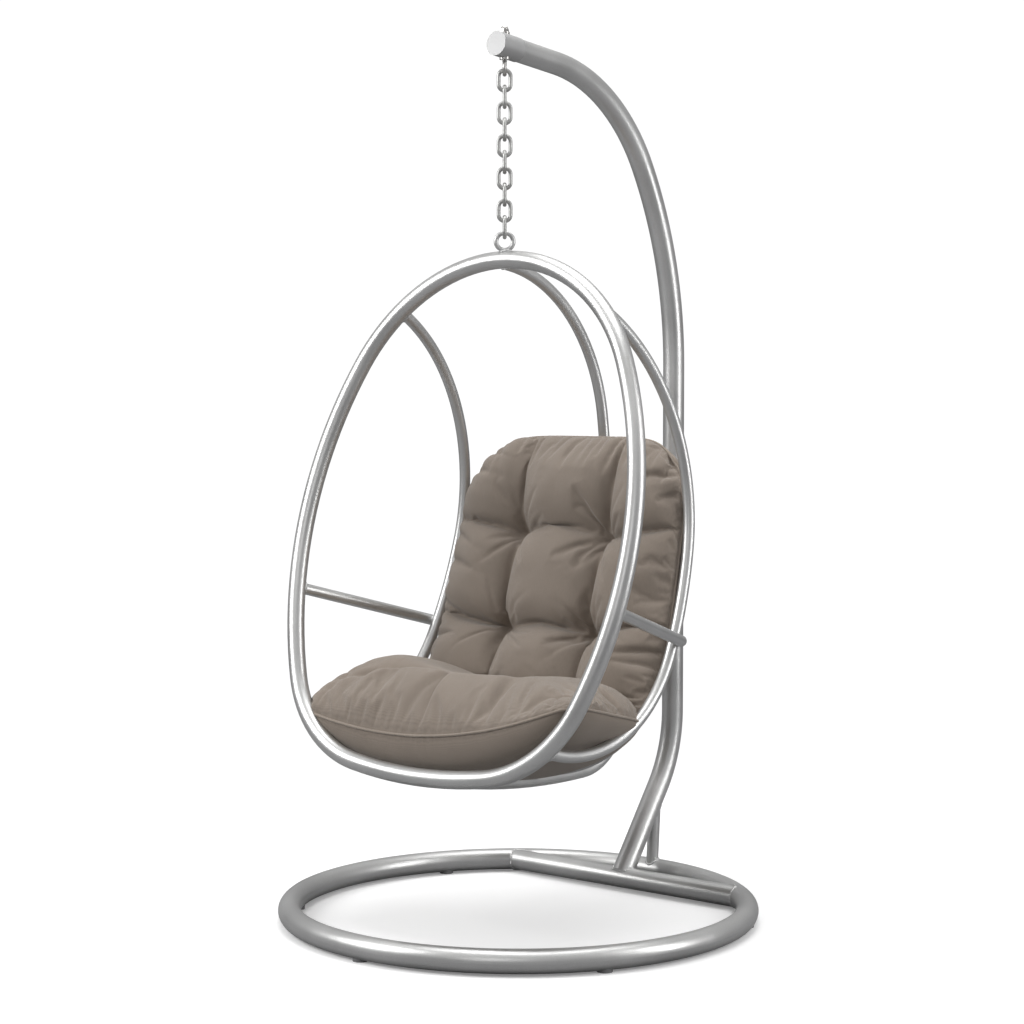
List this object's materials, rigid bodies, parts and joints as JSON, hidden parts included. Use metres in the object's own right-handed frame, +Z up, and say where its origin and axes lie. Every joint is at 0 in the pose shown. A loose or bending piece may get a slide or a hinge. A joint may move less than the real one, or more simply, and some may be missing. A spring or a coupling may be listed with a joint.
{
  "type": "porch swing",
  "caption": "Hanging pod chair with tubular hoops and padded seat and back cushions, hung on a chain from the crook of a ring-based steel stand. It swings, tilts and turns.",
  "frame": {"origin": "on the floor under the middle of the whole chair", "axes": "+X across the pod to its right seen from the front, -Y towards the pod's open front, +Y towards the post, +Z up"},
  "size_m": [1.0499, 1.122, 1.9347],
  "materials": {
    "silver_tube": "satin silver powder coat with a fine mottle",
    "cap_metal": "smooth light silver",
    "plated_steel": "dull zinc plate",
    "chain_steel": "worn zinc plate",
    "glide_plastic": "matte",
    "cushion_fabric": "woven outdoor canvas"
  },
  "bodies": {
    "stand": {"base_ring": "silver_tube", "cross_tube": "silver_tube", "post_lower": "silver_tube", "post_upper": "silver_tube", "post_spigot": "silver_tube", "post_bolt_1": "plated_steel", "post_bolt_2": "plated_steel", "post_brace": "silver_tube", "glide_1": "glide_plastic", "glide_2": "glide_plastic", "glide_3": "glide_plastic", "glide_4": "glide_plastic", "glide_5": "glide_plastic", "glide_6": "glide_plastic", "crook_cap": "cap_metal", "eye_bolt": "plated_steel", "washer_upper": "plated_steel", "washer_lower": "plated_steel", "dome_nut": "plated_steel"},
    "link_01": {"link_01": "chain_steel"},
    "link_02": {"link_02": "chain_steel"},
    "link_03": {"link_03": "chain_steel"},
    "link_04": {"link_04": "chain_steel"},
    "link_05": {"link_05": "chain_steel"},
    "link_06": {"link_06": "chain_steel"},
    "link_07": {"link_07": "chain_steel"},
    "link_08": {"link_08": "chain_steel"},
    "link_09": {"link_09": "chain_steel"},
    "link_10": {"link_10": "chain_steel"},
    "pod": {"pod_eye": "silver_tube", "front_hoop": "silver_tube", "side_hoop_left": "silver_tube", "side_hoop_right": "silver_tube", "centre_rib": "silver_tube", "arm_left": "silver_tube", "arm_right": "silver_tube", "rail_upper": "silver_tube", "rail_lower": "silver_tube", "seat_cushion": "cushion_fabric", "back_cushion": "cushion_fabric"}
  },
  "joints": [
    {"name": "chain_swing_side", "type": "hinge", "parent": "stand", "child": "link_01", "pos_m": [0, -0.082, 1.83101], "axis": [-0.6428, 0.766, 0], "range_deg": [-3, 10]},
    {"name": "chain_swing_fore", "type": "hinge", "parent": "link_01", "child": "link_02", "pos_m": [0, -0.082, 1.79656], "axis": [0.766, 0.6428, 0], "range_deg": [-10, 3]},
    {"name": "chain_twist_1", "type": "hinge", "parent": "link_02", "child": "link_03", "pos_m": [0, -0.082, 1.76186], "axis": [0, 0, 1], "range_deg": [-8, 8]},
    {"name": "chain_twist_2", "type": "hinge", "parent": "link_03", "child": "link_04", "pos_m": [0, -0.082, 1.72716], "axis": [0, 0, 1], "range_deg": [-8, 8]},
    {"name": "chain_twist_3", "type": "hinge", "parent": "link_04", "child": "link_05", "pos_m": [0, -0.082, 1.69246], "axis": [0, 0, 1], "range_deg": [-8, 8]},
    {"name": "chain_twist_4", "type": "hinge", "parent": "link_05", "child": "link_06", "pos_m": [0, -0.082, 1.65776], "axis": [0, 0, 1], "range_deg": [-8, 8]},
    {"name": "chain_twist_5", "type": "hinge", "parent": "link_06", "child": "link_07", "pos_m": [0, -0.082, 1.62306], "axis": [0, 0, 1], "range_deg": [-8, 8]},
    {"name": "chain_twist_6", "type": "hinge", "parent": "link_07", "child": "link_08", "pos_m": [0, -0.082, 1.58836], "axis": [0, 0, 1], "range_deg": [-8, 8]},
    {"name": "chain_twist_7", "type": "hinge", "parent": "link_08", "child": "link_09", "pos_m": [0, -0.082, 1.55366], "axis": [0, 0, 1], "range_deg": [-8, 8]},
    {"name": "chain_twist_8", "type": "hinge", "parent": "link_09", "child": "link_10", "pos_m": [0, -0.082, 1.51896], "axis": [0, 0, 1], "range_deg": [-8, 8]},
    {"name": "pod_tilt", "type": "hinge", "parent": "link_10", "child": "pod", "pos_m": [0, -0.082, 1.49391], "axis": [0.766, 0.6428, 0], "range_deg": [-6, 2]}
  ]
}
